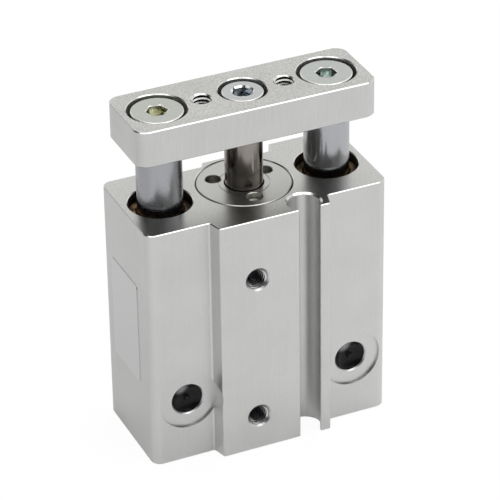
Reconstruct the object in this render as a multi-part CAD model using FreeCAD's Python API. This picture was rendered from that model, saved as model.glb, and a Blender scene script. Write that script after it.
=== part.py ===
"""Guided pneumatic cylinder, 10 mm bore and 15 mm stroke, in millimetres.

An extruded aluminium body holds one piston between two guide rods.  The piston rod and both
guide rods carry an end plate, so that the plate travels straight and can't turn.

Frame: +Z is the way the plate extends.  The origin is on the piston's axis, in the body's
bottom face.  +X runs from the left guide rod to the right one, and the face with the ports
and the switch groove looks towards -Y.  The model stands retracted.
"""
import FreeCAD
import Part
import math
import os

V = FreeCAD.Vector
UP = V(0, 0, 1)
BACK = V(0, 1, 0)

# ---------------------------------------------------------------- driving dimensions

# Fits: gaps that hold at any size of the pieces around them.
running_gap = 0.04          # a shaft in its bush, a seal on its wall
seat_gap = 0.02             # a piece pressed or screwed into its seat
stop_gap = 0.05             # between the piston and a bumper at either end of the stroke
head_gap = 0.45             # a screw's head in its counterbore
clearance_hole_gap = 0.15   # a screw's shank in its plain hole

# Piston line, from the bottom face to the top.
stroke = 15.0
bore_diameter = 10.0
rod_diameter = 5.0
head_cover_length = 3.3
head_bumper_length = 0.8
piston_length = 7.1
rod_bumper_length = 1.2
rod_cover_length = 7.4
cover_shoulder = 1.35       # how far a cover's seat steps out from the bore
bumper_relief = 0.7         # ring-shaped space round a bumper, for the air
bumper_bore_relief = 0.5    # between the rod-side bumper and the rod

# Guides.
guide_rod_diameter = 6.0
guide_bush_wall = 1.2
guide_side_wall = 1.25      # between a guide bush and the cover's seat
guide_bush_length = 14.0
guide_bush_recess = 1.2     # below the top face
guide_relief_gap = 0.3      # round the rod, below its bush
guide_rod_foot = 1.5        # above the bottom face, when retracted

# Body: two wings, a raised pad in front and a channel with a ridge behind.
side_wall = 0.9             # outside the guide bushes
corner_radius = 1.3
pad_rise = 2.0
pad_corner = 0.3
step_slant = 0.55           # run of every sloping step of the outline
cover_back_wall = 0.6       # ridge behind the cover's seat
ridge_sink = 0.8            # the ridge below the wings
ridge_shoulder = 0.85       # ridge beyond the seat's chord, on each side
channel_width = 14.1
channel_depth = 1.75
edge_break = 0.1            # chamfer round both end faces
bore_chamfer = 0.12         # at the mouths of the guide bores and counterbores

# Switch groove in the pad.
groove_radius = 2.15
groove_x = 4.85
groove_sink = 1.85          # its axis below the pad's face
groove_lip_radius = 0.2
groove_end_chamfer = 0.25   # where a switch is slid in
rib_wall = 0.75             # between the groove and the pad's edge

# Ports and the plugs in them.
port_diameter = 4.2         # core of an M5 thread
port_height = 8.95
port_mouth_chamfer = 0.2
port_back_wall = 0.55       # between a port and the guide bore behind it
spot_face_diameter = 8.2
spot_face_depth = 0.35
plug_recess = 0.1
plug_length = 2.7
plug_edge = 0.05
plug_neck = 0.1             # how far its stem is thinned behind the rim
plug_neck_depths = (0.6, 0.8, 1.9, 2.1)     # where that starts, is full, ends full and ends
# Its dished face with a nub in the middle, as shares of its radius and depths.
plug_face = ((0.0, 0.15), (0.10, 0.20), (0.17, 0.50), (0.25, 0.60), (0.50, 0.55), (0.68, 0.42), (0.85, 0.22))
passage_diameter = 1.2
passage_entry_angle = 30.0  # where a passage meets the bore, towards the front
riser_diameter = 1.5
riser_x = 7.9
riser_y = -4.3
ball_diameter = 2.0
ball_depth = 1.4

# Threaded holes for the user's M3 screws.
m3_core_diameter = 2.5
body_thread_x = -2.6
body_thread_low = 5.1       # above the bottom face
body_thread_high = 8.8      # below the top face
body_thread_back_wall = 1.15    # between a hole's floor and the bore
body_thread_chamfer = 0.45
plate_thread_wall = 1.3     # beside the middle counterbore
plate_thread_chamfer = 0.2

# Covers.
spanner_hole_diameter = 2.1
spanner_circle_diameter = 8.2
spanner_hole_depth = 0.9
spanner_hole_point = 0.4    # of its drilled cone
spanner_hole_chamfer = 0.08
spanner_first_angle = 25.0
spanner_holes = 3
cover_mouth_gap = 0.15      # round the rod, in the rod cover's outer lip
cover_ring_radius = 3.4     # fine groove turned round that mouth
cover_ring_size = 0.1
cover_lip = 1.9
rod_seal_height = 1.8
rod_seal_width = 1.5
rod_seal_lip = 0.3          # width of a lip's edge
rod_seal_throat = 0.8       # depth of the throat between the lips
rod_seal_bevel = 0.2
rod_bush_wall = 0.9
o_ring_section = 1.0
o_ring_sides = 8            # of its round section
o_ring_squeeze = 0.1
o_ring_groove_width = 1.3
o_ring_edge = 0.7           # from the cover's inner face to its groove

# Piston.
piston_gap = 0.1
piston_hub_diameter = 5.8
rod_spigot_diameter = 4.0
rod_flat_across = 4.2       # spanner flats under the plate
rod_flat_length = 2.7
rod_flat_turn = 14.0        # their direction, from the X axis
rod_rivet_flare = 0.4
magnet_length = 2.0
magnet_wall_gap = 0.3       # magnet kept off the bore
holder_length = 0.9
piston_seal_height = 1.7
piston_seal_depth = 1.5
piston_seal_lip = 0.3
piston_seal_waist = 0.25    # how far its rim is hollowed between the lips
piston_seal_land = 1.2      # piston above its seal

# End plate.
plate_gap = 8.5             # between body and plate, when retracted
plate_thickness = 5.0
plate_end_wall = 0.95       # past the outer counterbores
plate_side_wall = 1.5       # beside the outer counterbores
plate_corner_radius = 1.7
plate_edge_break = 0.12
head_sink = 0.2             # screw heads below the plate's top face
mouth_chamfer = 0.2

# Screws: M4 low head in the guide rods, M3 cap head in the piston rod.
m4 = dict(thread=4.0, head=6.9, height=2.8, across_flats=2.5, socket=1.8, bevel=0.25, length=9.0)
m3 = dict(thread=3.0, head=5.5, height=3.0, across_flats=2.5, socket=1.5, bevel=0.2, length=8.0)
m4_turn = dict(left=49.0, right=36.0)   # how far each driven hexagon is turned
m3_turn = 0.0
socket_drill_point = 0.4
thread_runout = 1.0         # tapped hole beyond the screw's tip
rod_end_chamfer = 0.3

# Rating label on the left side, bare.
label_width = 8.5
label_height = 14.7
label_low = 10.9
label_front = -3.8
label_thickness = 0.1
label_corner = 0.5

# ---------------------------------------------------------------- derived places

bore_r = bore_diameter / 2
rod_r = rod_diameter / 2
cover_seat_r = bore_r + cover_shoulder
guide_r = guide_rod_diameter / 2
bush_r = guide_r + guide_bush_wall
guide_x = cover_seat_r + guide_side_wall + bush_r
guide_relief_r = guide_r + guide_relief_gap

head_cover_top = head_cover_length
piston_foot = head_cover_top + head_bumper_length + stop_gap
piston_top = piston_foot + piston_length
rod_bumper_foot = piston_top + stroke + stop_gap
rod_cover_foot = rod_bumper_foot + rod_bumper_length
body_height = rod_cover_foot + rod_cover_length

bush_top = body_height - guide_bush_recess
bush_foot = bush_top - guide_bush_length

half_width = guide_x + bush_r + side_wall
ridge_y = cover_seat_r + cover_back_wall
wing_y = ridge_y + ridge_sink
channel_y = wing_y - channel_depth
ridge_half = math.sqrt(max(cover_seat_r ** 2 - channel_y ** 2, 0)) + ridge_shoulder
pad_y = wing_y + pad_rise
pad_half = groove_x + groove_radius + rib_wall
groove_y = -(pad_y - groove_sink)
body_thread_floor = -(bore_r + body_thread_back_wall)
body_thread_heights = (body_thread_low, body_height - body_thread_high)

spot_y = -(wing_y - spot_face_depth)
port_r = port_diameter / 2
port_floor_y = -(guide_relief_r + port_back_wall)

plate_foot = body_height + plate_gap
plate_top = plate_foot + plate_thickness
head_top = plate_top - head_sink

seal_pocket_top = body_height - cover_lip
seal_pocket_foot = seal_pocket_top - rod_seal_height

outer_head_r = m4["head"] / 2 + head_gap
middle_head_r = m3["head"] / 2 + head_gap
plate_thread_x = middle_head_r + plate_thread_wall + m3_core_diameter / 2


# ---------------------------------------------------------------- shared forms

def cylinder(radius, z_low, z_high, x=0.0, y=0.0):
    """An upright cylinder between two heights."""
    return Part.makeCylinder(radius, z_high - z_low, V(x, y, z_low), UP)


def bore_along_y(radius, y_low, y_high, x, z):
    """A cylinder that runs from front to back."""
    return Part.makeCylinder(radius, y_high - y_low, V(x, y_low, z), BACK)


def ring(outer_r, inner_r, z_low, z_high):
    """A plain ring about the piston's axis."""
    return cylinder(outer_r, z_low, z_high).cut(cylinder(inner_r, z_low, z_high))


def turned(profile, x=0.0, y=0.0):
    """A turned piece: (radius, height) points revolved about an upright axis at x, y."""
    points = [V(r, 0, z) for r, z in profile]
    face = Part.Face(Part.makePolygon(points + points[:1]))
    return face.revolve(V(0, 0, 0), UP, 360).translated(V(x, y, 0))


def outline(corners):
    """A closed wire through (x, y, radius) corners, each rounded by its own tangent arc."""
    ends = []
    for i, (x, y, radius) in enumerate(corners):
        here = V(x, y, 0)
        before = (V(*corners[i - 1][:2], 0) - here).normalize()
        after = (V(*corners[(i + 1) % len(corners)][:2], 0) - here).normalize()
        half = before.getAngle(after) / 2
        reach = radius / math.tan(half)
        inward = (before + after).normalize()
        middle = here + inward * (radius / math.sin(half) - radius)
        ends.append((here + before * reach, middle, here + after * reach, radius))
    edges = []
    for i, (start, middle, end, radius) in enumerate(ends):
        if radius > 0:
            edges.append(Part.Arc(start, middle, end).toShape())
        edges.append(Part.LineSegment(end, ends[(i + 1) % len(ends)][0]).toShape())
    return Part.Wire(edges)


def extruded(corners, z_low, z_high):
    """A prism on such an outline."""
    solid = Part.Face(outline(corners)).extrude(V(0, 0, z_high - z_low))
    return solid.translated(V(0, 0, z_low))


def edges_at_height(solid, *heights):
    """The edges that lie flat at any of the given heights."""
    return [e for e in solid.Edges
            if any(abs(e.BoundBox.ZMin - z) < 1e-6 and abs(e.BoundBox.ZMax - z) < 1e-6 for z in heights)]


def mouth(radius, chamfer, z, x=0.0, y=0.0, up=True):
    """The cone that a countersink takes out of a hole's mouth at height z."""
    cone = Part.makeCone(radius, radius + chamfer, chamfer, V(x, y, z - chamfer), UP)
    return cone if up else cone.mirror(V(x, y, z), UP)


def mouth_in_front(radius, chamfer, x, y, z):
    """The same cone for a hole that opens towards -Y."""
    return Part.makeCone(radius + chamfer, radius, chamfer, V(x, y, z), BACK)


# ---------------------------------------------------------------- body

def body_outline():
    """The extrusion's section: wings, front pad, rear channel and the ridge in the channel."""
    channel = channel_width / 2
    ridge_foot = ridge_half + step_slant * (ridge_y - channel_y) / channel_depth
    right = [
        (pad_half, -pad_y, pad_corner),
        (pad_half + step_slant, -wing_y, pad_corner),
        (half_width, -wing_y, corner_radius),
        (half_width, wing_y, corner_radius),
        (channel, wing_y, 0),
        (channel - step_slant, channel_y, 0),
        (ridge_foot, channel_y, 0),
        (ridge_half, ridge_y, 0),
    ]
    left = [(-x, y, r) for x, y, r in reversed(right)]
    return right + left


def air_passages():
    """The left port's passage to the chamber below the piston, and the right port's passage by way
    of an upright riser to the chamber above it."""
    entry_x = bore_r * math.cos(math.radians(passage_entry_angle))
    entry_y = -bore_r * math.sin(math.radians(passage_entry_angle))
    below_piston = V(-entry_x, entry_y, head_cover_top + head_bumper_length)
    above_piston = V(entry_x, entry_y, rod_bumper_foot + rod_bumper_length / 2)
    riser_end = V(riser_x, riser_y, rod_bumper_foot - riser_diameter)
    return [
        straight_hole(V(-guide_x, spot_y, port_height), below_piston, passage_diameter),
        straight_hole(V(guide_x, spot_y, port_height), V(riser_x, riser_y, port_height), passage_diameter),
        cylinder(riser_diameter / 2, 0, riser_end.z + riser_diameter / 2, riser_x, riser_y),
        cylinder(ball_diameter / 2, 0, ball_depth + ball_diameter / 2, riser_x, riser_y),
        straight_hole(riser_end, above_piston, passage_diameter),
    ]


def straight_hole(start, end, diameter):
    return Part.makeCylinder(diameter / 2, (end - start).Length, start, end - start)


def make_body():
    solid = extruded(body_outline(), 0, body_height)
    solid = solid.cut(cylinder(groove_radius, 0, body_height, groove_x, groove_y))
    mouth_half = math.sqrt(groove_radius ** 2 - groove_sink ** 2)
    lips = [e for e in solid.Edges
            if e.BoundBox.ZLength > body_height / 2
            and abs(abs(e.CenterOfMass.x - groove_x) - mouth_half) < 1e-4
            and abs(e.CenterOfMass.y + pad_y) < 1e-4]
    solid = solid.makeFillet(groove_lip_radius, lips)
    solid = solid.makeChamfer(edge_break, edges_at_height(solid, 0, body_height))

    cuts = [
        cylinder(bore_r, 0, body_height),
        cylinder(cover_seat_r, 0, head_cover_top),
        cylinder(cover_seat_r, rod_cover_foot, body_height),
        mouth(cover_seat_r, bore_chamfer, body_height),
        mouth(groove_radius, groove_end_chamfer, 0, groove_x, groove_y, up=False),
        mouth(groove_radius, groove_end_chamfer, body_height, groove_x, groove_y),
    ]
    for side in (-1, 1):
        x = side * guide_x
        cuts.append(cylinder(guide_relief_r, 0, body_height, x))
        cuts.append(cylinder(bush_r, bush_foot, body_height, x))
        cuts.append(mouth(bush_r, bore_chamfer, body_height, x))
        cuts.append(mouth(guide_relief_r, mouth_chamfer, 0, x, up=False))
        cuts.append(bore_along_y(spot_face_diameter / 2, -pad_y, spot_y, x, port_height))
        cuts.append(bore_along_y(port_r, spot_y, port_floor_y, x, port_height))
        cuts.append(mouth_in_front(port_r, port_mouth_chamfer, x, spot_y, port_height))
    for z in body_thread_heights:
        core = m3_core_diameter / 2
        cuts.append(bore_along_y(core, -pad_y, body_thread_floor, body_thread_x, z))
        cuts.append(mouth_in_front(core, body_thread_chamfer, body_thread_x, -pad_y, z))
    return solid.cut(cuts + air_passages())


# ---------------------------------------------------------------- covers and their seals

def spanner_pattern(face, inward):
    """The drilled blind holes that a pin spanner turns a cover by, from its outer face inward."""
    radius = spanner_hole_diameter / 2
    rim = spanner_hole_chamfer
    holes = []
    for i in range(spanner_holes):
        angle = math.radians(spanner_first_angle + i * 360 / spanner_holes)
        x = spanner_circle_diameter / 2 * math.cos(angle)
        y = spanner_circle_diameter / 2 * math.sin(angle)
        depths = ((0, 0), (radius + rim, 0), (radius, rim), (radius, spanner_hole_depth),
                  (0, spanner_hole_depth + spanner_hole_point))
        holes.append(turned([(r, face + inward * d) for r, d in depths], x, y))
    return holes


def o_ring_groove(z_low):
    depth = o_ring_section - o_ring_squeeze
    return ring(cover_seat_r, cover_seat_r - depth, z_low, z_low + o_ring_groove_width)


def o_ring(z_low):
    """A cord ring that fills its groove from floor to wall."""
    depth = o_ring_section - o_ring_squeeze
    middle_r = cover_seat_r - depth / 2
    middle_z = z_low + o_ring_groove_width / 2
    half_side = math.pi / o_ring_sides
    corner_r = (depth / 2 - seat_gap) / math.cos(half_side)
    corners = [half_side * (2 * i + 1) for i in range(o_ring_sides)]
    return turned([(middle_r + corner_r * math.cos(a), middle_z + corner_r * math.sin(a)) for a in corners])


rod_cover_groove = rod_cover_foot + o_ring_edge
head_cover_groove = head_cover_top - o_ring_edge - o_ring_groove_width


def make_rod_cover():
    solid = cylinder(cover_seat_r - seat_gap, rod_cover_foot, body_height)
    solid = solid.makeChamfer(mouth_chamfer, edges_at_height(solid, body_height))
    bush_seat_r = rod_r + rod_bush_wall
    cuts = [
        cylinder(rod_r + cover_mouth_gap, seal_pocket_top, body_height),
        cylinder(rod_r + rod_seal_width, seal_pocket_foot, seal_pocket_top),
        cylinder(bush_seat_r, rod_cover_foot, seal_pocket_foot),
        ring(cover_ring_radius, cover_ring_radius - cover_ring_size,
             body_height - cover_ring_size, body_height),
        o_ring_groove(rod_cover_groove),
    ]
    cuts += spanner_pattern(body_height, -1)
    return solid.cut(cuts)


def make_rod_bush():
    return ring(rod_r + rod_bush_wall - seat_gap, rod_r + running_gap, rod_cover_foot, seal_pocket_foot)


def make_rod_seal():
    """A lip seal: a heel ring with an open throat towards the pressure side."""
    outer = rod_r + rod_seal_width - seat_gap
    inner = rod_r + running_gap
    low = seal_pocket_foot
    high = seal_pocket_top
    throat_r = (outer + inner) / 2
    return turned([(inner, low), (inner + rod_seal_lip, low), (throat_r, low + rod_seal_throat),
                   (outer - rod_seal_lip, low), (outer, low), (outer, high),
                   (inner + rod_seal_bevel, high), (inner, high - rod_seal_bevel)])


def make_head_cover():
    solid = cylinder(cover_seat_r - seat_gap, 0, head_cover_top)
    solid = solid.makeChamfer(mouth_chamfer, edges_at_height(solid, 0))
    return solid.cut([o_ring_groove(head_cover_groove)] + spanner_pattern(0, 1))


def make_head_bumper():
    outer = bore_r - bumper_relief
    return ring(outer, outer / 2, head_cover_top, head_cover_top + head_bumper_length)


def make_rod_bumper():
    return ring(bore_r - bumper_relief, rod_r + bumper_bore_relief, rod_bumper_foot, rod_cover_foot)


# ---------------------------------------------------------------- guides

def make_guide_bush(side):
    outer = bush_r - seat_gap
    inner = guide_r + running_gap
    c = mouth_chamfer
    return turned([(inner, bush_foot + c), (inner + c, bush_foot), (outer - c, bush_foot),
                   (outer, bush_foot + c), (outer, bush_top - c), (outer - c, bush_top),
                   (inner + c, bush_top), (inner, bush_top - c)], side * guide_x)


def screw_tip(screw):
    return head_top - screw["height"] - screw["length"]


def tapped_rod(radius, foot, screw, x=0.0):
    """A round rod under the plate, chamfered at its foot and tapped for its screw at its top."""
    c = rod_end_chamfer
    hole_r = screw["thread"] / 2
    floor = screw_tip(screw) - thread_runout
    return turned([(0, foot), (radius - c, foot), (radius, foot + c), (radius, plate_foot - c),
                   (radius - c, plate_foot), (hole_r, plate_foot), (hole_r, floor),
                   (0, floor - hole_r / 2)], x)


def make_guide_rod(side):
    return tapped_rod(guide_r, guide_rod_foot, m4, side * guide_x)


# ---------------------------------------------------------------- piston and its rod

def make_piston_rod():
    """The rod has spanner flats at its top and steps down to a spigot through the piston, which is
    riveted over at its foot."""
    rod = tapped_rod(rod_r, piston_top - rod_end_chamfer, m3)
    rod = rod.cut(cylinder(rod_r, piston_top - rod_end_chamfer, piston_top))
    for turn in (rod_flat_turn, rod_flat_turn + 180):
        beside_flat = Part.makeBox(rod_r, rod_diameter, rod_flat_length,
                                   V(rod_flat_across / 2, -rod_r, plate_foot - rod_flat_length))
        rod = rod.cut(beside_flat.rotate(V(0, 0, 0), UP, turn))
    spigot = rod_spigot_diameter / 2 - seat_gap
    tail = turned([(0, piston_foot), (spigot + rod_rivet_flare, piston_foot),
                   (spigot, piston_foot + rod_rivet_flare), (spigot, piston_top), (0, piston_top)])
    return rod.fuse(tail).removeSplitter()


magnet_foot = piston_foot + holder_length
magnet_top = magnet_foot + magnet_length
piston_seal_top = piston_top - piston_seal_land
piston_seal_foot = piston_seal_top - piston_seal_height


def make_piston():
    """A hub with one flange, which has the seal's groove and a bevel on its rim."""
    outer = bore_r - piston_gap
    floor = bore_r - piston_seal_depth
    hub = piston_hub_diameter / 2
    hole = rod_spigot_diameter / 2
    c = mouth_chamfer
    return turned([(hole + rod_rivet_flare, piston_foot), (hub, piston_foot), (hub, magnet_top),
                   (outer, magnet_top), (outer, piston_seal_foot), (floor, piston_seal_foot),
                   (floor, piston_seal_top), (outer, piston_seal_top), (outer, piston_top - c),
                   (outer - c, piston_top), (hole, piston_top), (hole, piston_foot + rod_rivet_flare)])


def make_magnet():
    return ring(bore_r - magnet_wall_gap, piston_hub_diameter / 2 + seat_gap, magnet_foot, magnet_top)


def make_magnet_holder():
    outer = bore_r - piston_gap
    inner = piston_hub_diameter / 2 + seat_gap
    c = mouth_chamfer
    return turned([(inner, piston_foot), (outer - c, piston_foot), (outer, piston_foot + c),
                   (outer, magnet_foot), (inner, magnet_foot)])


def make_piston_seal():
    """A two-lipped seal, waisted on its rim."""
    outer = bore_r - running_gap
    inner = bore_r - piston_seal_depth + seat_gap
    low = piston_seal_foot + seat_gap
    high = piston_seal_top - seat_gap
    lip = piston_seal_lip
    return turned([(inner, low), (outer - lip, low), (outer, low + lip),
                   (outer - piston_seal_waist, (low + high) / 2),
                   (outer, high - lip), (outer - lip, high), (inner, high)])


# ---------------------------------------------------------------- end plate and screws

def make_end_plate():
    half_length = guide_x + outer_head_r + plate_end_wall
    half_depth = outer_head_r + plate_side_wall
    corner = plate_corner_radius
    solid = extruded([(half_length, half_depth, corner), (-half_length, half_depth, corner),
                      (-half_length, -half_depth, corner), (half_length, -half_depth, corner)],
                     plate_foot, plate_top)
    solid = solid.makeChamfer(plate_edge_break, edges_at_height(solid, plate_foot, plate_top))
    cuts = []
    places = ((-guide_x, m4, outer_head_r), (0, m3, middle_head_r), (guide_x, m4, outer_head_r))
    for x, screw, head_r in places:
        cuts.append(cylinder(head_r, head_top - screw["height"], plate_top, x))
        cuts.append(mouth(head_r, bore_chamfer, plate_top, x))
        cuts.append(cylinder(screw["thread"] / 2 + clearance_hole_gap, plate_foot, plate_top, x))
    for x in (-plate_thread_x, plate_thread_x):
        core = m3_core_diameter / 2
        cuts.append(cylinder(core, plate_foot, plate_top, x))
        cuts.append(mouth(core, plate_thread_chamfer, plate_top, x))
        cuts.append(mouth(core, plate_thread_chamfer, plate_foot, x, up=False))
    return solid.cut(cuts)


def socket_screw(screw, turn, x=0.0):
    """A hexagon socket screw whose head lies in the plate's counterbore."""
    head = cylinder(screw["head"] / 2, head_top - screw["height"], head_top, x)
    head = head.makeChamfer(screw["bevel"], edges_at_height(head, head_top))
    corner = screw["across_flats"] / math.sqrt(3)
    points = [V(x + corner * math.cos(math.radians(turn + 60 * i)),
                corner * math.sin(math.radians(turn + 60 * i)), head_top) for i in range(7)]
    socket = Part.Face(Part.makePolygon(points)).extrude(V(0, 0, -screw["socket"]))
    point = V(x, 0, head_top - screw["socket"] - socket_drill_point)
    drill_point = Part.makeCone(0, screw["across_flats"] / 2, socket_drill_point, point, UP)
    tip = screw_tip(screw)
    shank_r = screw["thread"] / 2 - seat_gap
    shank = cylinder(shank_r, tip, head_top - screw["height"], x)
    shank = shank.makeChamfer(rod_end_chamfer, edges_at_height(shank, tip))
    return head.cut([socket, drill_point]).fuse(shank).removeSplitter()


# ---------------------------------------------------------------- small parts on the body

def make_port_plug(side):
    """A push-in dust plug: a necked stem behind a dished face."""
    outer = port_r - seat_gap
    neck = outer - plug_neck
    c = plug_edge
    depths = plug_neck_depths
    face = [(outer * share, depth) for share, depth in plug_face]
    plug = turned(face + [(outer - c, 0), (outer, c), (outer, depths[0]), (neck, depths[1]),
                          (neck, depths[2]), (outer, depths[3]), (outer - c, plug_length), (0, plug_length)])
    plug.rotate(V(0, 0, 0), V(1, 0, 0), -90)
    return plug.translated(V(side * guide_x, spot_y + plug_recess, port_height))


def make_passage_ball():
    return Part.makeSphere(ball_diameter / 2 - seat_gap, V(riser_x, riser_y, ball_depth))


def make_rating_label():
    low = (label_front, label_low, label_corner)
    high_y = label_front + label_width
    high_z = label_low + label_height
    face = outline([low, (high_y, label_low, label_corner), (high_y, high_z, label_corner),
                    (label_front, high_z, label_corner)])
    label = Part.Face(face).extrude(V(0, 0, label_thickness))
    turn = FreeCAD.Rotation(BACK, UP, V(1, 0, 0), "XYZ")
    label.Placement = FreeCAD.Placement(V(-half_width - label_thickness, 0, 0), turn)
    return label


# ---------------------------------------------------------------- all pieces

def pieces():
    made = {
        "body": make_body(),
        "rod_cover": make_rod_cover(),
        "rod_cover_o_ring": o_ring(rod_cover_groove),
        "rod_bush": make_rod_bush(),
        "rod_seal": make_rod_seal(),
        "rod_side_bumper": make_rod_bumper(),
        "head_cover": make_head_cover(),
        "head_cover_o_ring": o_ring(head_cover_groove),
        "head_side_bumper": make_head_bumper(),
        "air_passage_ball": make_passage_ball(),
        "rating_label": make_rating_label(),
        "end_plate": make_end_plate(),
        "piston_rod": make_piston_rod(),
        "piston_rod_screw": socket_screw(m3, m3_turn),
        "piston": make_piston(),
        "piston_seal": make_piston_seal(),
        "piston_magnet": make_magnet(),
        "magnet_holder": make_magnet_holder(),
    }
    for name, side in (("left", -1), ("right", 1)):
        made["guide_bush_" + name] = make_guide_bush(side)
        made["guide_rod_" + name] = make_guide_rod(side)
        made["guide_rod_screw_" + name] = socket_screw(m4, m4_turn[name], side * guide_x)
        made["port_plug_" + name] = make_port_plug(side)
    return made


os.makedirs("parts", exist_ok=True)
for node, shape in pieces().items():
    shape.exportStep("parts/" + node + ".step")
    box = shape.BoundBox
    print("%-22s solids %d valid %s volume %8.2f  z %.2f..%.2f"
          % (node, len(shape.Solids), shape.isValid(), shape.Volume, box.ZMin, box.ZMax))
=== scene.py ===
import math

import bmesh
import bpy
from mathutils import Matrix, Vector


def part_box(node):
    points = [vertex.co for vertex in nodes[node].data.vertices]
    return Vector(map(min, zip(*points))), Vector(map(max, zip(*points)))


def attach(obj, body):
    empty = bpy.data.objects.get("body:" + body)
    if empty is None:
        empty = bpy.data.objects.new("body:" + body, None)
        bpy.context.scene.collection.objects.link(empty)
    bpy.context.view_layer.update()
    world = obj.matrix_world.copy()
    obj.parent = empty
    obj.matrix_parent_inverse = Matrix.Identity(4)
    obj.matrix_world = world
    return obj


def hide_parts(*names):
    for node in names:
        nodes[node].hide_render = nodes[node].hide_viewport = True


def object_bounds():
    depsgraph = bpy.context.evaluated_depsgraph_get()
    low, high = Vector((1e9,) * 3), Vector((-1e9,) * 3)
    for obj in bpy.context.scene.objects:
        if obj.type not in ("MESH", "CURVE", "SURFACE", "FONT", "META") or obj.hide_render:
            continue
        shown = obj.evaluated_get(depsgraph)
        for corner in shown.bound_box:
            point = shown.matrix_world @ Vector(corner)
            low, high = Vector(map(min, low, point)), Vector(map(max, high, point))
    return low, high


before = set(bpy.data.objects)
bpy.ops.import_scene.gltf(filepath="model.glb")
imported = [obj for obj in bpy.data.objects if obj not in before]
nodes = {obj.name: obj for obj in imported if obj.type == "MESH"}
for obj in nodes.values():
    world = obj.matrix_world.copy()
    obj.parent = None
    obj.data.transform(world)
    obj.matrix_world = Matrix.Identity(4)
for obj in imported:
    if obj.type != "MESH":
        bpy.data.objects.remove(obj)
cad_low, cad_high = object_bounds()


# ---------------------------------------------------------------- camera and studio
# A long lens looks down on the cylinder from its front left, as for a catalogue.  A broad softbox
# hangs over its front and a weaker one at its left, in a white room with a dark side behind the
# camera.  The part stands on white paper.

MM = 0.001

camera_azimuth = math.radians(23.943)
camera_elevation = math.radians(31.093)
camera_roll = math.radians(-0.892)
camera_distance = 389.98 * MM
camera_lens = 214.67
aim_offset = Vector((0.304, 0.0, 0.859)) * MM
aim = (cad_low + cad_high) / 2 + aim_offset

to_camera = Vector((-math.sin(camera_azimuth) * math.cos(camera_elevation),
                    -math.cos(camera_azimuth) * math.cos(camera_elevation),
                    math.sin(camera_elevation)))
level_right = Vector((math.cos(camera_azimuth), -math.sin(camera_azimuth), 0.0))
level_up = to_camera.cross(level_right)
camera_right = level_right * math.cos(camera_roll) + level_up * math.sin(camera_roll)
camera_up = level_up * math.cos(camera_roll) - level_right * math.sin(camera_roll)

scene = bpy.context.scene
camera = bpy.data.objects.new("camera", bpy.data.cameras.new("camera"))
scene.collection.objects.link(camera)
camera.matrix_world = (Matrix.Translation(aim + to_camera * camera_distance)
                       @ Matrix((camera_right, camera_up, to_camera)).transposed().to_4x4())
camera.data.lens = camera_lens
camera.data.clip_start = 0.02
camera.data.clip_end = 20.0
scene.camera = camera
scene.view_settings.view_transform = "Standard"


def softbox(name, towards, distance, width, height, watts):
    """A rectangular lamp that faces the part from the given direction."""
    data = bpy.data.lights.new(name, "AREA")
    data.shape = "RECTANGLE"
    data.size = width
    data.size_y = height
    data.energy = watts
    lamp = bpy.data.objects.new(name, data)
    scene.collection.objects.link(lamp)
    direction = Vector(towards).normalized()
    lamp.location = aim + direction * distance
    lamp.rotation_euler = direction.to_track_quat("Z", "Y").to_euler()


softbox("front_softbox", towards=(0.31, -0.50, 0.81), distance=0.60, width=0.42, height=0.27, watts=0.66)
softbox("left_softbox", towards=(-0.43, -0.36, 0.83), distance=0.60, width=0.36, height=0.22, watts=0.30)


class Value:
    """A shader socket that Python's operators work on.  Each adds the Math node it stands for."""

    def __init__(self, socket):
        self.socket = socket

    def maths(self, operation, *terms):
        node = self.socket.id_data.nodes.new("ShaderNodeMath")
        node.operation = operation
        for place, term in zip(node.inputs, terms):
            feed(place, term)
        return Value(node.outputs[0])

    def __add__(self, other):
        return self.maths("ADD", self, other)

    def __radd__(self, other):
        return self.maths("ADD", other, self)

    def __sub__(self, other):
        return self.maths("SUBTRACT", self, other)

    def __rsub__(self, other):
        return self.maths("SUBTRACT", other, self)

    def __mul__(self, other):
        return self.maths("MULTIPLY", self, other)

    def __rmul__(self, other):
        return self.maths("MULTIPLY", other, self)

    def __pow__(self, other):
        return self.maths("POWER", self, other)

    def __abs__(self):
        return self.maths("ABSOLUTE", self)


def feed(place, value):
    """Links a Value to a socket, or sets a plain number, colour or vector on it."""
    if isinstance(value, Value):
        place.id_data.links.new(value.socket, place)
    else:
        place.default_value = value


class Recipe:
    """The nodes of one finish, or of the room."""

    def __init__(self, tree):
        self.tree = tree
        tree.nodes.clear()

    def node(self, kind, settings=None, inputs=None, output=0):
        """Adds any node: its settings first, then its sockets, and gives back one output."""
        made = self.tree.nodes.new("ShaderNode" + kind)
        for name, value in (settings or {}).items():
            setattr(made, name, value)
        for name, value in (inputs or {}).items():
            feed(made.inputs[name], value)
        return Value(made.outputs[output]) if made.outputs else None

    def step(self, value, low, high):
        """0 below low and 1 above high, with a soft rise between them."""
        return self.node("MapRange", {"interpolation_type": "SMOOTHSTEP"},
                         {"Value": value, "From Min": low, "From Max": high})

    def mix(self, factor, first, second):
        """One colour at 0 and another at 1."""
        return self.node("Mix", {"data_type": "RGBA"}, {0: factor, 6: first, 7: second}, 2)

    def parts(self, vector):
        """The three numbers of a vector."""
        return [self.node("SeparateXYZ", inputs={0: vector}, output=axis) for axis in range(3)]

    def mirrored(self):
        """1 where a surface is seen in metal or through glass, and 0 where it is not."""
        return (self.node("LightPath", output="Is Glossy Ray")
                + self.node("LightPath", output="Is Transmission Ray"))


dark_azimuth = math.radians(45.0)   # the middle of the room's dark side, from the front to the left
dark_edge = (-0.55, 0.20)           # the cosines off that azimuth between which the room darkens
ceiling_edge = (0.70, 0.80)         # the rise to the ceiling, which is white all round
matt_share = 0.85                   # how strongly the room lights matt surfaces

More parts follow.
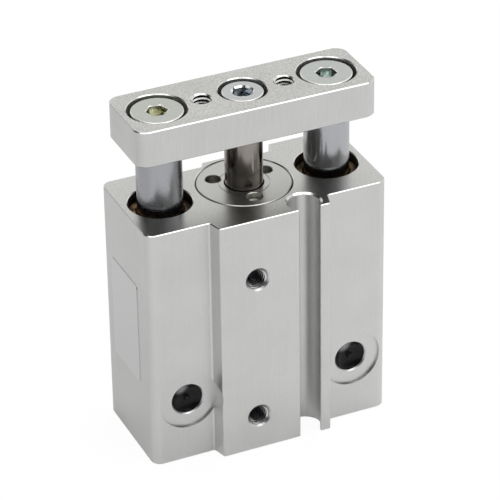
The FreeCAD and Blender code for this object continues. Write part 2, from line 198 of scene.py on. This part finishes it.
world = bpy.data.worlds.new("studio_room")
scene.world = world
world.use_nodes = True
room = Recipe(world.node_tree)
east, north, up = room.parts(room.node("TexCoord", output="Generated"))
facing = east * -math.sin(dark_azimuth) + north * -math.cos(dark_azimuth)
dark_side = room.step(facing, *dark_edge) * (1 - room.step(up, *ceiling_edge))
seen = room.node("LightPath", output="Is Camera Ray")
brightness = seen + (1 - seen) * (1 - dark_side) * (matt_share + (1 - matt_share) * room.mirrored())
white_room = room.node("Background", inputs={"Color": (1.0, 1.0, 1.0, 1.0), "Strength": brightness})
room.node("OutputWorld", inputs={"Surface": white_room})

paper_size = 6.0
paper_gap = 0.02 * MM               # between the paper and the part's bottom face
paper_tone = (0.90, 0.90, 0.90, 1.0)
glow_strength = 1.045               # a little over plain white, to make up for the paper's shading
camera_glow = 0.90                  # share of glow that shows; the rest takes the part's shadow
# Painted shadow: the glow that metal sees is lower behind the part and right beside it, for the part's
# shadow on the paper.
front_glow = 0.45                   # the share that metal sees in front of the part
shadowed_back_glow = 0.10                    # the share that metal sees behind it
to_front = (0.41, -0.91)            # the direction across the paper from back to front
front_edge = 30.0 * MM              # the two meet in a soft band, as wide as this on each side
contact_shadow_glow = 0.40                   # what is left of the front's glow right beside the part
contact_shadow_reach = (10.0 * MM, 26.0 * MM) # the distances from the part's axis over which it comes back

bpy.ops.mesh.primitive_grid_add(x_subdivisions=2, y_subdivisions=2, size=paper_size,
                                location=(0.0, 0.0, cad_low.z - paper_gap))
paper = bpy.context.object
paper.name = "paper_floor"
paper_finish = bpy.data.materials.new("white_paper")
paper_finish.use_nodes = True
sheet = Recipe(paper_finish.node_tree)
paper_x, paper_y = sheet.parts(sheet.node("TexCoord", output="Object"))[:2]
forward = paper_x * to_front[0] + paper_y * to_front[1]
distance = (paper_x * paper_x + paper_y * paper_y) ** 0.5
# painted shadow: the paper's mirrored glow is dimmed close to the part
clear_of_contact_shadow = contact_shadow_glow + (1 - contact_shadow_glow) * sheet.step(distance, *contact_shadow_reach)
in_front = sheet.step(forward, -front_edge, front_edge)
mirrored_glow = shadowed_back_glow + in_front * (front_glow - shadowed_back_glow) * clear_of_contact_shadow
glow = sheet.node("LightPath", output="Is Camera Ray") * camera_glow + sheet.mirrored() * mirrored_glow
shaded = sheet.node("BsdfDiffuse", inputs={"Color": paper_tone})
glowing = sheet.node("Emission", inputs={"Color": (1.0, 1.0, 1.0, 1.0), "Strength": glow_strength})
blended = sheet.node("MixShader", inputs={0: glow, 1: shaded, 2: glowing})
sheet.node("OutputMaterial", inputs={"Surface": blended})
paper.data.materials.append(paper_finish)


# ---------------------------------------------------------------- body
# Extruded aluminium, cut to length, with milled end faces and bright chamfers round them.  It is
# etched matt and clear anodised, so that the drawn sides keep faint lines along the extrusion.


def principled(recipe, **sockets):
    """Ends a finish with the surface shader; a socket's spaces are written as underscores."""
    named = {name.replace("_", " "): value for name, value in sockets.items()}
    surface = recipe.node("BsdfPrincipled", inputs=named)
    recipe.node("OutputMaterial", inputs={"Surface": surface})


def new_finish(name):
    """A material, its recipe, and the place on the piece in millimetres, as all a finish's sizes."""
    material = bpy.data.materials.new(name)
    material.use_nodes = True
    recipe = Recipe(material.node_tree)
    here = recipe.node("TexCoord", output="Object")
    place = recipe.node("VectorMath", {"operation": "SCALE"}, {0: here, "Scale": 1 / MM})
    return material, recipe, place


def tint(tone, strength=1.0):
    """A tone made darker or lighter, in the four numbers that a colour socket takes."""
    return [min(1.0, part * strength) for part in tone] + [1.0]


def grain(recipe, place, scale, detail=2.0, stretch=(1.0, 1.0, 1.0)):
    """Noise from 0 to 1, stretched by three factors along the piece's axes."""
    stretched = recipe.node("VectorMath", {"operation": "MULTIPLY"}, {0: place, 1: stretch})
    return recipe.node("TexNoise", inputs={"Vector": stretched, "Scale": scale, "Detail": detail})


def relief(recipe, height, strength, depth):
    """The normal of a surface with fine relief of this depth."""
    return recipe.node("Bump", inputs={"Strength": strength, "Distance": depth, "Height": height})


def round_hole(recipe, place, axis, centre, radius, low, high):
    """1 inside a straight round hole along an axis, between two places on that axis."""
    soft_wall = 0.02
    soft_end = 0.05
    x, y, z = recipe.parts(place)
    along, across = {"y": (y, (x, z)), "z": (z, (x, y))}[axis]
    off = [across[i] - centre[i] for i in range(2)]
    distance = (off[0] * off[0] + off[1] * off[1]) ** 0.5
    return ((1 - recipe.step(distance, radius, radius + soft_wall))
            * recipe.step(along, low, low + soft_end) * (1 - recipe.step(along, high, high + soft_end)))


def fill_holes(recipe, place, colour, holes):
    """The colour, with painted shade as a tone of its own in each hole: axis, centre, radius, low, high and
    tone.
    """
    for *hole, tone in holes:
        colour = recipe.mix(round_hole(recipe, place, *hole), colour, tint(tone))
    return colour


def anodised(name, ends, side_tone, face_tone, line_stretch, line_depth, blasting, side_roughness,
             face_roughness, holes):
    """Clear anodised aluminium: matt drawn sides, speckled ends, bright edges, painted shade in its holes.
    """
    flat_slope = (0.85, 0.95)
    chamfer_slope = (0.45, 0.60)
    chamfer_reach = (0.25, 0.35)
    bright_edge = (0.66, 0.66, 0.65)
    edge_roughness = 0.20
    material, recipe, place = new_finish(name)
    upright = abs(recipe.parts(recipe.node("TexCoord", output="Normal"))[2])
    milled = recipe.step(upright, *flat_slope)
    chamfered = recipe.step(upright, *chamfer_slope) * (1 - milled)
    from_end = (ends[1] - ends[0]) / 2 - abs(recipe.parts(place)[2] - (ends[0] + ends[1]) / 2)
    edge = chamfered * (1 - recipe.step(from_end, *chamfer_reach))
    lines = grain(recipe, place, 1.0, 3.0, line_stretch)
    etched = grain(recipe, place, 5.5)
    clouds = grain(recipe, place, 0.16)
    drawn = (lines - 0.5) * line_depth + (etched - 0.5) * 0.35 + (clouds - 0.5) * 0.4 + 0.5
    blasted = (etched - 0.5) * blasting + (clouds - 0.5) * 0.3 + 0.5
    side = recipe.mix(drawn, tint(side_tone, 0.84), tint(side_tone, 1.16))
    face = recipe.mix(blasted, tint(face_tone, 0.70), tint(face_tone, 1.30))
    colour = recipe.mix(edge * 0.8, recipe.mix(milled, side, face), tint(bright_edge))
    roughness = (side_roughness + (face_roughness - side_roughness) * milled
                 - edge * (side_roughness - edge_roughness) + (lines - 0.5) * 0.08)
    height = lines * 0.2 + etched * (0.2 + 0.8 * milled)
    principled(recipe, Base_Color=fill_holes(recipe, place, colour, holes), Metallic=1.0,
               Roughness=roughness, Normal=relief(recipe, height, 0.20, 0.02 * MM))
    return material


def dress(node, material):
    """Gives a piece of the frame its finish."""
    nodes[node].material_slots[0].material = material


body_low, body_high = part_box("body")
body_bottom = body_low.z / MM
body_top = body_high.z / MM
body_front = body_low.y / MM
guide_low, guide_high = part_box("guide_rod_right")
guide_x = (guide_low.x + guide_high.x) / 2
body_thread_x = -2.6 * MM
body_thread_heights = {"lower": 5.1 * MM, "upper": body_high.z - 8.8 * MM}
# Painted shade: the tapped holes and the guide bores' mouths get darker tones than the body around them.
thread_shade_radius = 1.50
thread_shade = (0.38, 0.38, 0.39)
bush_mouth_radius = 4.23
bush_mouth_shade = (0.10, 0.09, 0.078)
thread_hole_shade = [("y", (body_thread_x / MM, height / MM), thread_shade_radius,
                 body_front + 0.17, -5.0, thread_shade) for height in body_thread_heights.values()]
bush_mouth_shading = [("z", (side * guide_x / MM, 0.0), bush_mouth_radius,
                body_top - 3.0, body_top - 0.15, bush_mouth_shade) for side in (-1, 1)]
anodised_side = (0.712, 0.712, 0.702)
dress("body", anodised("satin_extrusion", ends=(body_bottom, body_top), side_tone=anodised_side,
                       face_tone=(0.545, 0.545, 0.525), line_stretch=(5.0, 5.0, 0.12),
                       line_depth=0.25, blasting=1.6, side_roughness=0.38, face_roughness=0.30,
                       holes=thread_hole_shade + bush_mouth_shading))


# ---------------------------------------------------------------- tapped holes in the body
# Two blind M3 threads in the front pad, cut after the anodising, so that their crests are bare
# bright metal at the mouth.  Further in, painted shade darkens their colour.

m3_core_radius = 1.25 * MM
m3_pitch = 0.5 * MM
body_thread_crest = 0.08 * MM
body_thread_root = 0.10 * MM
body_thread_depth = 3.3 * MM
body_thread_chamfer = 0.45 * MM


def new_piece(name, shape, sharp_angle):
    """A piece of the scene from finished mesh code, smooth but for its sharp edges."""
    bmesh.ops.recalc_face_normals(shape, faces=shape.faces)
    mesh = bpy.data.meshes.new(name)
    shape.to_mesh(mesh)
    shape.free()
    for face in mesh.polygons:
        face.use_smooth = True
    mesh.set_sharp_from_angle(angle=sharp_angle)
    piece = bpy.data.objects.new(name, mesh)
    scene.collection.objects.link(piece)
    return piece


def helix_thread(name, mouth, outward, wall_radius, root, crest, pitch, length):
    """A thread's ridge, which winds from a hole's mouth to its floor and fades out at both ends.
    Its root lies in the wall, and its crest stands out of it.  Widths are parts of the pitch."""
    around = 40
    run_in = around * 0.35
    end_half = 0.05
    swell = 0.27
    crest_half = 0.06
    steps = int(length / pitch * around)
    side = Vector(outward).orthogonal().normalized()
    third = Vector(outward).cross(side)
    shape = bmesh.new()
    rows = []
    for i in range(steps + 1):
        angle = 2 * math.pi * i / around
        depth = length * i / steps
        fade = min(1.0, i / run_in, (steps - i) / run_in)
        away = side * math.cos(angle) + third * math.sin(angle)
        half = pitch * (end_half + swell * fade)
        outer = wall_radius + root
        inner = wall_radius - crest * fade
        row = []
        for radius, along in ((outer, -half), (inner, -crest_half * pitch),
                              (inner, crest_half * pitch), (outer, half)):
            centre = Vector(mouth) - Vector(outward) * (depth + along)
            row.append(shape.verts.new(centre + away * radius))
        rows.append(row)
    for before, after in zip(rows, rows[1:]):
        for k in range(4):
            shape.faces.new((before[k], before[(k + 1) % 4], after[(k + 1) % 4], after[k]))
    shape.faces.new(rows[0][::-1])
    shape.faces.new(rows[-1])
    return new_piece(name, shape, math.radians(25))


def cut_thread(name, axis, mouth, fade):
    """Bare bright aluminium, darkened as painted shade further down the hole than the fade."""
    deep_shade = (0.22, 0.22, 0.225)
    material, recipe, place = new_finish(name)
    chatter = grain(recipe, place, 6.0)
    bright = recipe.mix(chatter, (0.66, 0.66, 0.64, 1.0), (0.86, 0.86, 0.84, 1.0))
    depth = abs(recipe.parts(place)[axis] - mouth / MM)
    # painted shade: the colour turns dark with depth below the mouth
    principled(recipe, Base_Color=recipe.mix(recipe.step(depth, fade * 0.4, fade), bright, tint(deep_shade)),
               Metallic=1.0, Roughness=0.22 + chatter * 0.12)
    return material


body_thread_metal = cut_thread("cut_aluminium_painted_shade", 1, body_low.y, 1.2)
for name, height in body_thread_heights.items():
    mouth = (body_thread_x, body_low.y + body_thread_chamfer * 0.5, height)
    thread = helix_thread("body_thread_" + name, mouth, (0.0, -1.0, 0.0), m3_core_radius,
                          body_thread_root, body_thread_crest, m3_pitch, body_thread_depth)
    thread.data.materials.append(body_thread_metal)
    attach(thread, "cylinder")


# ---------------------------------------------------------------- head cover
# A turned aluminium disc that closes the bore at the bottom, with pin-spanner holes, an O-ring in
# its rim and a soft bumper on its inner face.

def turned_aluminium(name, tone, roughness, shaded_rings=(), holes=()):
    """Aluminium off the lathe: fine rings about the piston's axis, and painted shade in its recesses."""
    ring_edge = 0.03
    material, recipe, place = new_finish(name)
    x, y, z = recipe.parts(place)
    radius = (x * x + y * y) ** 0.5
    level_place = recipe.node("CombineXYZ", inputs={"X": radius, "Y": z})
    rings = recipe.node("TexNoise", inputs={"Vector": level_place, "Scale": 9.0, "Detail": 3.0})
    clouds = grain(recipe, place, 0.5)
    colour = recipe.mix(rings * 0.6 + clouds * 0.4, tint(tone, 0.92), tint(tone, 1.08))
    for low, high in shaded_rings:
        # painted shade: a near-black ring in the gap between the cover and the body
        gap_shade = recipe.step(radius, low, low + ring_edge) * (1 - recipe.step(radius, high - ring_edge, high))
        colour = recipe.mix(gap_shade, colour, (0.05, 0.045, 0.035, 1.0))
    principled(recipe, Base_Color=fill_holes(recipe, place, colour, holes), Metallic=1.0,
               Roughness=roughness + (rings - 0.5) * 0.12,
               Normal=relief(recipe, rings, 0.12, 0.02 * MM))
    return material


def rubber(name, tone, roughness):
    """Moulded rubber with a slight bloom."""
    material, recipe, place = new_finish(name)
    bloom = grain(recipe, place, 1.5, 3.0)
    principled(recipe, Base_Color=recipe.mix(bloom, tint(tone, 0.7), tint(tone, 1.5)),
               Roughness=roughness + (bloom - 0.5) * 0.2,
               Normal=relief(recipe, bloom, 0.15, 0.02 * MM))
    return material


cover_gap = (6.20, 6.40)
spanner_circle = 4.1
spanner_hole_radius = 1.06
# Painted shade: the spanner holes are filled with a darker tone.
spanner_hole_shade = (0.50, 0.49, 0.46)
spanner_hole_turns = (math.radians(-95.0), math.radians(145.0), math.radians(25.0))
spanner_holes = [("z", (spanner_circle * math.cos(turn), spanner_circle * math.sin(turn)),
                  spanner_hole_radius, body_top - 1.6, body_top - 0.08, spanner_hole_shade)
                 for turn in spanner_hole_turns]
cover_metal = turned_aluminium("turned_cover", (0.52, 0.52, 0.495), 0.34, (cover_gap,), spanner_holes)
seal_rubber = rubber("black_seal_rubber", (0.02, 0.02, 0.02), 0.45)
bumper_urethane = rubber("amber_urethane", (0.30, 0.20, 0.08), 0.40)
dress("head_cover", cover_metal)
dress("head_cover_o_ring", seal_rubber)
dress("head_side_bumper", bumper_urethane)


# ---------------------------------------------------------------- piston
# A turned aluminium hub and flange with a lip seal in its groove.  A bonded magnet ring sits under
# the flange, held by a thin disc: it works the switch in the body's groove.

piston_metal = turned_aluminium("turned_piston", (0.50, 0.50, 0.48), 0.30)
magnet_grey = rubber("bonded_magnet_grey", (0.045, 0.045, 0.05), 0.60)
dress("piston", piston_metal)
dress("magnet_holder", piston_metal)
dress("piston_magnet", magnet_grey)
dress("piston_seal", seal_rubber)


# ---------------------------------------------------------------- rod cover
# A turned aluminium disc flush with the body's top face.  It holds the rod's bronze bush and lip
# seal, and is turned in with a pin spanner.

def sintered_bronze(name):
    """Bronze pressed from powder, with fine pores and dark stains of oil."""
    material, recipe, place = new_finish(name)
    pores = recipe.node("TexVoronoi", inputs={"Vector": place, "Scale": 7.0})
    stain = grain(recipe, place, 0.8, 3.0, (1.0, 1.0, 0.4))
    colour = recipe.mix(recipe.step(stain, 0.35, 0.75), (0.030, 0.022, 0.015, 1.0),
                        (0.34, 0.22, 0.12, 1.0))
    principled(recipe, Base_Color=colour, Metallic=1.0, Roughness=0.34 + stain * 0.2,
               Normal=relief(recipe, pores, 0.25, 0.02 * MM))
    return material


bronze = sintered_bronze("oiled_sintered_bronze")
dress("rod_cover", cover_metal)
dress("rod_cover_o_ring", seal_rubber)
dress("rod_seal", seal_rubber)
dress("rod_side_bumper", bumper_urethane)
dress("rod_bush", bronze)


# ---------------------------------------------------------------- guide bushes
# Two long bushes of sintered bronze, pressed into the body a little below its top face.  The oil
# in their pores keeps the guide rods running without grease.

dress("guide_bush_left", bronze)
dress("guide_bush_right", bronze)


# ---------------------------------------------------------------- piston rod
# Ground and polished stainless steel, brownish under its film of oil, with two spanner flats at
# the top.

def ground_steel(name, dark, light, roughness, ring_strength):
    """A ground shaft: very fine rings round it and faint lengthwise oil marks."""
    material, recipe, place = new_finish(name)
    rings = grain(recipe, place, 1.0, 3.0, (0.05, 0.05, 12.0))
    oil = grain(recipe, place, 1.0, 2.0, (0.9, 0.9, 0.10))
    principled(recipe, Base_Color=recipe.mix(oil, tint(dark), tint(light)), Metallic=1.0,
               Roughness=roughness + (rings - 0.5) * 0.08 + (oil - 0.5) * 0.06,
               Normal=relief(recipe, rings, ring_strength, 0.01 * MM))
    return material


dress("piston_rod", ground_steel("oiled_stainless", (0.22, 0.202, 0.182), (0.385, 0.352, 0.325),
                                 roughness=0.17, ring_strength=0.25))


# ---------------------------------------------------------------- guide rods
# Hardened steel, hard chromed and ground.  They run through the bushes and are screwed to the end
# plate, so that it can't turn.

# The rods are one hard chrome in two tones: the left rod's darker tone is painted shade, the right rod's
# lighter tone painted light.
dress("guide_rod_left", ground_steel("hard_chrome_darker_left", (0.395, 0.40, 0.42), (0.465, 0.47, 0.49),
                                     roughness=0.26, ring_strength=0.10))
dress("guide_rod_right", ground_steel("hard_chrome_lighter_right", (0.44, 0.445, 0.465), (0.52, 0.525, 0.545),
                                      roughness=0.20, ring_strength=0.10))


# ---------------------------------------------------------------- end plate
# A milled and clear anodised aluminium bar with a fine blasted top.  Two M3 holes go right through
# it, with bright threads, for whatever the cylinder moves.

plate_low, plate_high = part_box("end_plate")
plate_bottom = plate_low.z / MM
plate_top = plate_high.z / MM
plate_thread_x = 5.75 * MM
plate_thread_chamfer = 0.2 * MM
plate_thread_crest = 0.19 * MM
plate_thread_root = 0.0
plate_hole_radius = 1.27
# Painted shade: the plate's thread holes are filled with a near-black tone.
plate_hole_shade = (0.03, 0.027, 0.023)
plate_holes = [("z", (side * plate_thread_x / MM, 0.0), plate_hole_radius,
                plate_bottom + 0.15, plate_top - 0.15, plate_hole_shade) for side in (-1, 1)]
dress("end_plate", anodised("blasted_plate", ends=(plate_bottom, plate_top), side_tone=anodised_side,
                            face_tone=(0.548, 0.545, 0.525), line_stretch=(4.0, 4.0, 0.25),
                            line_depth=0.45, blasting=2.4, side_roughness=0.40, face_roughness=0.36,
                            holes=plate_holes))
plate_thread_metal = cut_thread("bright_cut_aluminium", 2, plate_high.z, 6.0)

for name, side in (("left", -1), ("right", 1)):
    mouth = (side * plate_thread_x, 0.0, plate_high.z - plate_thread_chamfer * 0.6)
    length = plate_high.z - plate_low.z - plate_thread_chamfer * 1.2
    thread = helix_thread("plate_thread_" + name, mouth, (0.0, 0.0, 1.0), m3_core_radius,
                          plate_thread_root, plate_thread_crest, m3_pitch, length)
    thread.data.materials.append(plate_thread_metal)
    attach(thread, "plate")


# ---------------------------------------------------------------- screws
# Zinc plated socket screws, cold headed with a hexagon driven into the head.  M4 low heads hold the
# guide rods and an M3 cap head the piston rod.

def socket_screw(node, turn, material, slot, head_height, shank_radius, across_flats, socket_depth,
                 socket_chamfer, rounding):
    """One screw in the place of the plain one, with a rounded head and a chamfered hexagon."""
    around = 96
    arc_steps = 6
    end_chamfer = 0.3 * MM
    seat_chamfer = 0.1 * MM
    mouth_margin = 0.06 * MM
    low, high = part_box(node)
    middle = Vector(((low.x + high.x) / 2, (low.y + high.y) / 2, 0.0))
    head_radius = (high.x - low.x) / 2
    top = high.z
    seat = top - head_height
    floor = top - socket_depth
    apothem = across_flats / 2
    corner = apothem / math.cos(math.pi / 6)

    def circle(radius):
        return [radius] * around

    def hexagon():
        radii = []
        for i in range(around):
            off = (2 * math.pi * i / around - turn) % (math.pi / 3) - math.pi / 6
            radii.append(apothem / math.cos(off))
        return radii

    rows = [(circle(shank_radius - end_chamfer), low.z), (circle(shank_radius), low.z + end_chamfer),
            (circle(shank_radius), seat), (circle(head_radius - seat_chamfer), seat),
            (circle(head_radius), seat + seat_chamfer)]
    for i in range(arc_steps + 1):
        angle = math.pi / 2 * i / arc_steps
        rows.append((circle(head_radius - rounding + rounding * math.cos(angle)),
                     top - rounding + rounding * math.sin(angle)))
    rows += [(circle(corner + mouth_margin), top), (hexagon(), top - socket_chamfer),
             (hexagon(), floor), (circle(apothem * 0.9), floor - 0.04 * MM),
             (circle(apothem * 0.25), floor - 0.36 * MM)]
    shape = bmesh.new()
    loops = []
    for radii, z in rows:
        loops.append([shape.verts.new(middle + Vector((r * math.cos(2 * math.pi * i / around),
                                                       r * math.sin(2 * math.pi * i / around), z)))
                      for i, r in enumerate(radii)])
    for before, after in zip(loops, loops[1:]):
        for i in range(around):
            j = (i + 1) % around
            shape.faces.new((before[i], before[j], after[j], after[i]))
    shape.faces.new(loops[0][::-1])
    shape.faces.new(loops[-1])
    piece = new_piece(node + "_detailed", shape, math.radians(28))
    piece.data.materials.append(material)
    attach(piece, "plate")
    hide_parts(node)


def zinc(name, top_z, head_tone, socket_tone, shaded_facing):
    """Bright zinc plating, with a painted highlight on the head's rounded rim.  The passivation shows its
    colour in the socket, whose walls carry painted highlights in random patches and painted shade where
    they face the given way."""
    rim_highlight_tone = (0.90, 0.90, 0.89)
    socket_mouth = (0.12, 0.5)
    material, recipe, place = new_finish(name)
    deep = recipe.step(top_z / MM - recipe.parts(place)[2], *socket_mouth)
    across, along, upright = recipe.parts(recipe.node("TexCoord", output="Normal"))
    # painted shade: socket walls that face the given way are darkened
    socket_shade = recipe.step(across * shaded_facing[0] + along * shaded_facing[1], 0.0, 0.45) * deep
    # painted highlight: the upper part of the head's rounded rim is brightened
    rim_highlight_mask = recipe.step(upright, 0.40, 0.60) * (1 - recipe.step(upright, 0.90, 0.97))
    mottle = grain(recipe, place, 1.2, 3.0)
    # painted highlights: random patches of the socket walls are brightened
    socket_highlight = recipe.step(grain(recipe, place, 1.9, 1.0), 0.42, 0.62)
    head = recipe.mix(mottle, tint(head_tone, 0.92), tint(head_tone, 1.08))
    head = recipe.mix(rim_highlight_mask, head, tint(rim_highlight_tone))
    socket = recipe.mix(socket_highlight, tint(socket_tone, 0.68), tint(socket_tone, 1.25))
    socket = recipe.mix(socket_shade, socket, tint(socket_tone, 0.45))
    principled(recipe, Base_Color=recipe.mix(deep, head, socket), Metallic=1.0,
               Roughness=0.30 - deep * 0.14 + (mottle - 0.5) * 0.12,
               Normal=relief(recipe, mottle, 0.10, 0.02 * MM))
    return material


m4_low_head = {"head_height": 2.8 * MM, "shank_radius": 1.98 * MM, "across_flats": 2.5 * MM,
               "socket_depth": 1.8 * MM, "socket_chamfer": 0.10 * MM, "rounding": 0.25 * MM}
m3_cap_head = {"head_height": 3.0 * MM, "shank_radius": 1.48 * MM, "across_flats": 2.5 * MM,
               "socket_depth": 1.5 * MM, "socket_chamfer": 0.20 * MM, "rounding": 0.22 * MM}
screw_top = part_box("guide_rod_screw_left")[1].z
yellow_zinc = zinc("zinc_yellow_socket", screw_top, head_tone=(0.49, 0.505, 0.465),
                   socket_tone=(0.95, 0.955, 0.72), shaded_facing=(-1.0, 0.0))
green_zinc = zinc("zinc_green_socket", screw_top, head_tone=(0.49, 0.51, 0.485),
                  socket_tone=(0.70, 0.77, 0.74), shaded_facing=(1.0, -0.4))
blue_zinc = zinc("zinc_blue_socket", screw_top, head_tone=(0.51, 0.525, 0.52),
                 socket_tone=(0.66, 0.70, 0.73), shaded_facing=(-1.0, 0.3))
socket_screw("guide_rod_screw_left", math.radians(49.0), yellow_zinc, "zinc_plated_steel", **m4_low_head)
socket_screw("guide_rod_screw_right", math.radians(36.0), green_zinc, "zinc_plated_steel", **m4_low_head)
socket_screw("piston_rod_screw", 0.0, blue_zinc, "zinc_plated_steel", **m3_cap_head)


# ---------------------------------------------------------------- plugs and ball
# Black polyethylene plugs keep dust out of the ports until they are piped.  A steel ball closes the
# drilled air passage at the bottom.

def polyethylene(name, centre_x, centre_z):
    """Black and glossy, with a painted highlight on the upper left of its dished face."""
    sheen_left = 0.75
    sheen_up = 1.65
    sheen_patch = (0.3, 1.2)
    material, recipe, place = new_finish(name)
    flow = grain(recipe, place, 0.9, 3.0)
    off_x = recipe.parts(place)[0] - (centre_x / MM - sheen_left)
    off_z = recipe.parts(place)[2] - (centre_z / MM + sheen_up)
    distance = (off_x * off_x + off_z * off_z) ** 0.5
    # painted highlight: a lighter patch near the upper left rim of the plug's face
    painted_sheen = (1 - recipe.step(distance, *sheen_patch)) * (0.7 + flow * 0.6)
    black = recipe.mix(flow, (0.006, 0.006, 0.006, 1.0), (0.016, 0.016, 0.017, 1.0))
    principled(recipe, Base_Color=recipe.mix(painted_sheen, black, (0.50, 0.50, 0.51, 1.0)),
               Roughness=0.20 + flow * 0.14, Specular_IOR_Level=0.2,
               Normal=relief(recipe, flow, 0.10, 0.03 * MM))
    return material


for name in ("port_plug_left", "port_plug_right"):
    plug_low, plug_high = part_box(name)
    plug_x = (plug_low.x + plug_high.x) / 2
    plug_z = (plug_low.z + plug_high.z) / 2
    dress(name, polyethylene(name + "_black", plug_x, plug_z))
dress("air_passage_ball", ground_steel("polished_ball", (0.42, 0.42, 0.42), (0.50, 0.50, 0.50),
                                       roughness=0.10, ring_strength=0.05))


# ---------------------------------------------------------------- rating label
# A strip of silver film, stuck on the left side by its own adhesive.  It is bare, with only the
# film's fine grain.

def silver_film(name):
    """Metallised film with a fine grain."""
    material, recipe, place = new_finish(name)
    speck = grain(recipe, place, 3.0)
    principled(recipe, Base_Color=recipe.mix(speck, (0.745, 0.745, 0.745, 1.0), (0.80, 0.80, 0.80, 1.0)),
               Metallic=0.9, Roughness=0.36 + speck * 0.08)
    return material


dress("rating_label", silver_film("silver_label_film"))
